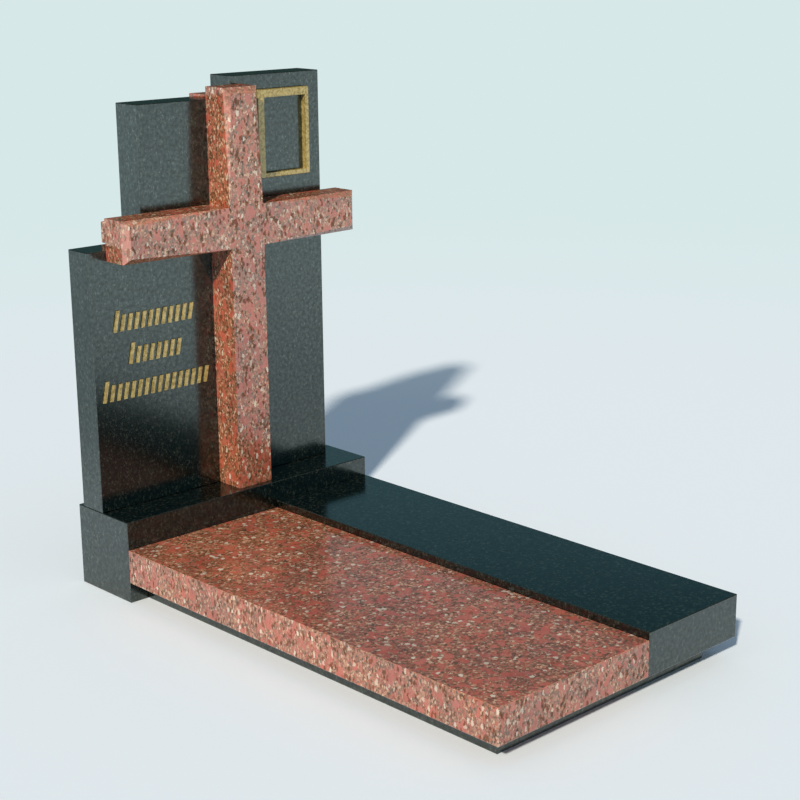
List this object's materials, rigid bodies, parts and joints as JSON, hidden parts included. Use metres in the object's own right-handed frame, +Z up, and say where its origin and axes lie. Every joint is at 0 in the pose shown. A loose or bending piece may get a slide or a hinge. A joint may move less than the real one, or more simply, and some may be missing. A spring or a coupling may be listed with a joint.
{
  "type": "cross headstone with grave ledger",
  "caption": "Granite grave memorial: a dark stele with a red Latin cross on a plinth, and a flat red and dark ledger lying in front.",
  "frame": {"origin": "on the ground, at the middle of the memorial's width and length", "axes": "+X to the right as seen from the foot of the grave, +Y from the foot of the grave to the back of the stele, +Z up"},
  "size_m": [0.75, 1.4, 1.2],
  "materials": {
    "dark_granite": "polished dark grey-green granite with fine pale flecks",
    "red_granite": "polished salmon-red granite with brown, dark and white grains",
    "gilt": "matt textured gold"
  },
  "bodies": {
    "root": {"plinth": "dark_granite", "lower_left_slab": "dark_granite", "upper_left_slab": "dark_granite", "lower_right_slab": "dark_granite", "upper_right_slab": "dark_granite", "inlaid_cross": "red_granite", "front_cross": "red_granite", "red_ledger": "red_granite", "dark_ledger": "dark_granite", "ledger_base": "dark_granite", "picture_frame": "gilt", "inscription_row_1": "gilt", "inscription_row_2": "gilt", "inscription_row_3": "gilt"}
  },
  "joints": []
}
